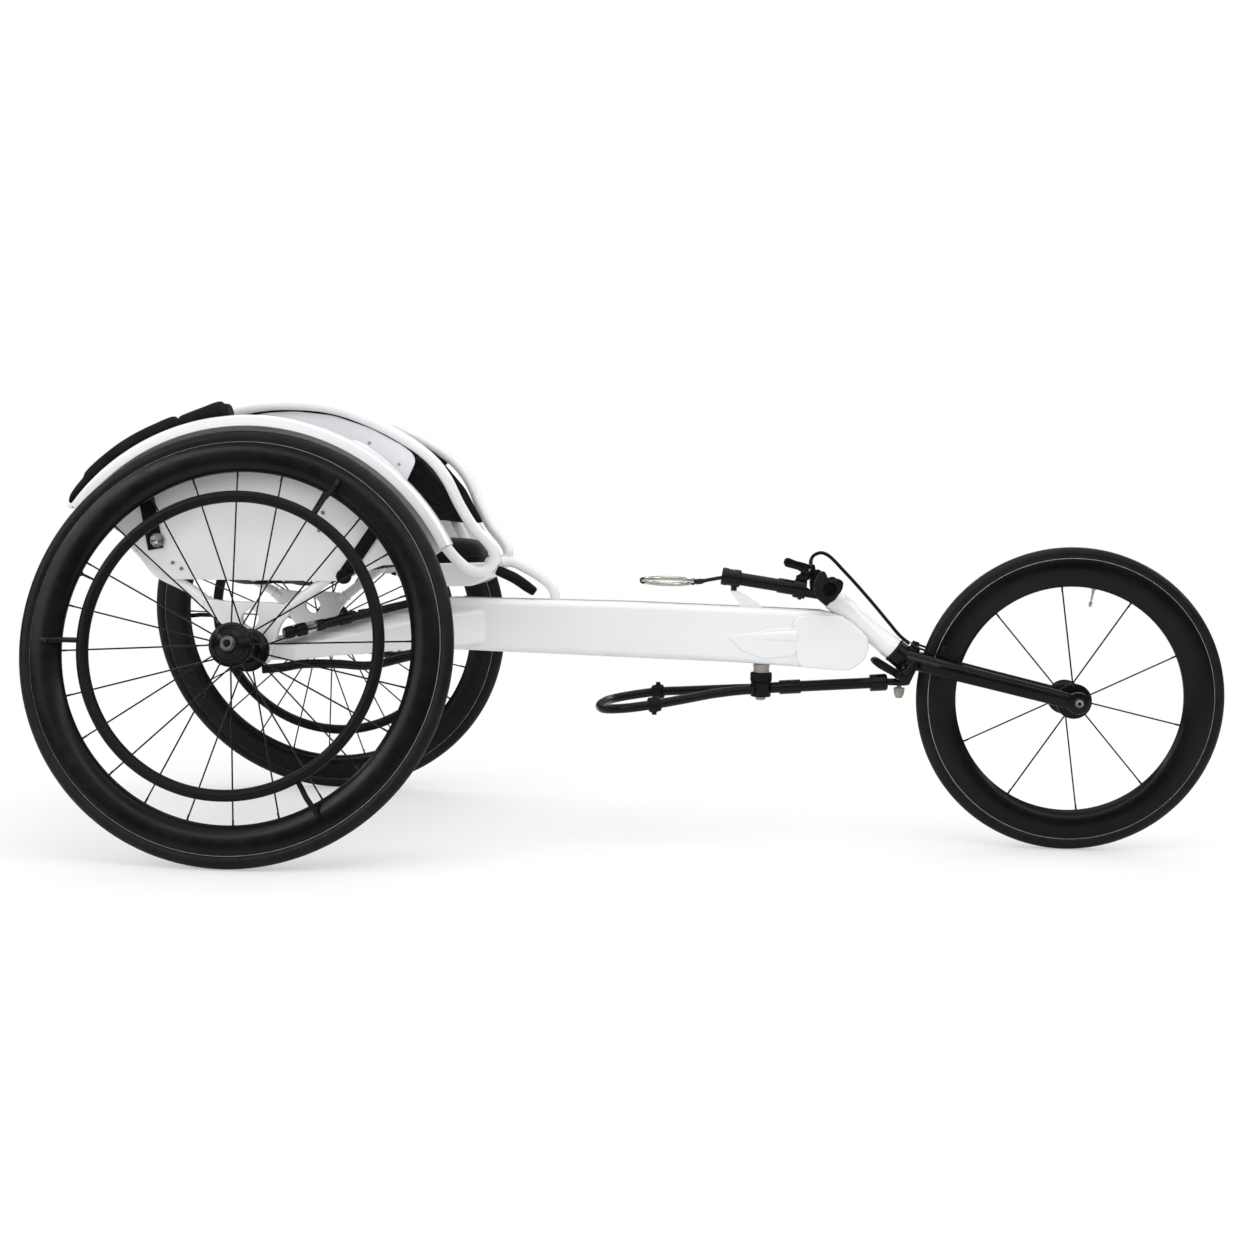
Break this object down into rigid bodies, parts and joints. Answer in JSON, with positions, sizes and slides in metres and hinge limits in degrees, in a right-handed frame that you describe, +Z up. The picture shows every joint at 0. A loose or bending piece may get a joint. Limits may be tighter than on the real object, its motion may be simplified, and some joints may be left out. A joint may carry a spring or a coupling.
{
  "type": "racing wheelchair",
  "caption": "Long racing wheelchair with cambered rear wheels, push rims, bent-tube seat cage, fenders, box beam, raked fork and a small front wheel.",
  "frame": {"origin": "on the ground, under the middle of the chair's length and width", "axes": "+X forward from the rear wheels to the front wheel, +Y to the rider's left, +Z up"},
  "size_m": [1.9075, 0.6944, 0.7143],
  "materials": {
    "white_paint": "gloss",
    "grey_panel": "satin",
    "white_shell": "gloss",
    "black_paint": "satin",
    "black_plastic": "matte",
    "pad_foam": "matte",
    "tyre_rubber": "matte",
    "silver": "satin",
    "bright_steel": "polished",
    "bearing_steel": "satin",
    "grey_plastic": "matte",
    "seat_cloth": "matte"
  },
  "bodies": {
    "frame": {"main_beam": "white_paint", "head_tube": "white_paint", "axle_tube": "white_paint", "hub_yoke_left": "white_paint", "hub_yoke_right": "white_paint", "frame_arm_left": "white_paint", "frame_arm_right": "white_paint", "cage_loop_left": "white_paint", "cage_loop_right": "white_paint", "knee_tray": "white_paint", "fender_left": "white_shell", "fender_right": "white_shell", "side_panel_left": "grey_panel", "side_panel_right": "grey_panel", "front_stay": "grey_panel", "lower_brace": "black_paint", "brace_adjuster_left": "black_paint", "brace_adjuster_right": "black_paint", "front_strap": "black_plastic", "fender_pad_left": "pad_foam", "fender_pad_right": "pad_foam", "quick_release_axle_left": "silver", "quick_release_axle_right": "silver", "head_bearings": "bearing_steel", "pivot_post": "grey_plastic", "seat_sling": "seat_cloth", "knee_cushion": "seat_cloth", "seat_straps": "seat_cloth", "side_strap_left": "seat_cloth", "side_strap_right": "seat_cloth", "back_strap": "seat_cloth"},
    "steering": {"fork": "black_paint", "front_axle": "silver", "handlebar": "black_paint", "handlebar_grip_left": "pad_foam", "handlebar_grip_right": "pad_foam", "tiller_tube": "black_paint", "ring_handle": "bright_steel", "brake_lever_mount": "black_paint", "brake_cable": "pad_foam", "steering_arm": "black_paint", "steering_stud": "grey_plastic"},
    "front_wheel": {"front_tyre": "tyre_rubber", "front_rim": "black_paint", "front_hub": "black_paint"},
    "brake_lever": {"brake_lever": "black_paint"},
    "brake_arm_left": {"brake_arm_left": "black_paint"},
    "brake_arm_right": {"brake_arm_right": "black_paint"},
    "track_lever": {"track_loop": "black_paint", "track_rod": "black_paint"},
    "rear_wheel_left": {"rear_tyre_left": "tyre_rubber", "rear_rim_left": "black_paint", "rear_hub_left": "black_paint", "handrim_left": "pad_foam"},
    "release_button_left": {"release_button_left": "black_plastic"},
    "rear_wheel_right": {"rear_tyre_right": "tyre_rubber", "rear_rim_right": "black_paint", "rear_hub_right": "black_paint", "handrim_right": "pad_foam"},
    "release_button_right": {"release_button_right": "black_plastic"}
  },
  "joints": [
    {"name": "rear_wheel_left_spin", "type": "hinge", "parent": "frame", "child": "rear_wheel_left", "pos_m": [-0.61875, 0.27, 0.32942], "axis": [0, 0.9816, 0.1908], "continuous": true},
    {"name": "release_button_left_press", "type": "slide", "parent": "frame", "child": "release_button_left", "axis": [0, -0.9816, -0.1908], "range_m": [0, 0.003], "stiffness_N_per_m": 400, "springref_m": -0.001},
    {"name": "rear_wheel_right_spin", "type": "hinge", "parent": "frame", "child": "rear_wheel_right", "pos_m": [-0.61875, -0.27, 0.32942], "axis": [0, -0.9816, 0.1908], "continuous": true},
    {"name": "release_button_right_press", "type": "slide", "parent": "frame", "child": "release_button_right", "axis": [0, 0.9816, -0.1908], "range_m": [0, 0.003], "stiffness_N_per_m": 400, "springref_m": -0.001},
    {"name": "steering_turn", "type": "hinge", "parent": "frame", "child": "steering", "pos_m": [0.40803, 0, 0.32819], "axis": [-0.7826, 0, 0.6225], "range_deg": [-20, 20]},
    {"name": "front_wheel_spin", "type": "hinge", "parent": "steering", "child": "front_wheel", "pos_m": [0.70125, 0, 0.2525], "axis": [0, 1, 0], "continuous": true},
    {"name": "brake_lever_press", "type": "hinge", "parent": "steering", "child": "brake_lever", "pos_m": [0.26472, 0, 0.45749], "axis": [0, -1, 0], "range_deg": [0, 20], "stiffness_Nm_per_rad": 0.6, "springref_deg": -5.73},
    {"name": "brake_arm_left_close", "type": "hinge", "parent": "steering", "child": "brake_arm_left", "pos_m": [0.44305, 0, 0.33126], "axis": [0.2917, 0, 0.9565], "range_deg": [-2.4, 0]},
    {"name": "brake_arm_right_close", "type": "hinge", "parent": "steering", "child": "brake_arm_right", "pos_m": [0.44305, 0, 0.33126], "axis": [0.2917, 0, 0.9565], "range_deg": [0, 2.4]},
    {"name": "track_lever_turn", "type": "hinge", "parent": "frame", "child": "track_lever", "pos_m": [0.18973, 0, 0.25499], "axis": [0, 0, 1], "range_deg": [-3.2, 3.2]}
  ],
  "couplings": [
    {"joint": "track_lever_turn", "follows": "steering_turn", "ratio": -0.158},
    {"joint": "brake_arm_left_close", "follows": "brake_lever_press", "ratio": -0.12},
    {"joint": "brake_arm_right_close", "follows": "brake_lever_press", "ratio": 0.12}
  ]
}
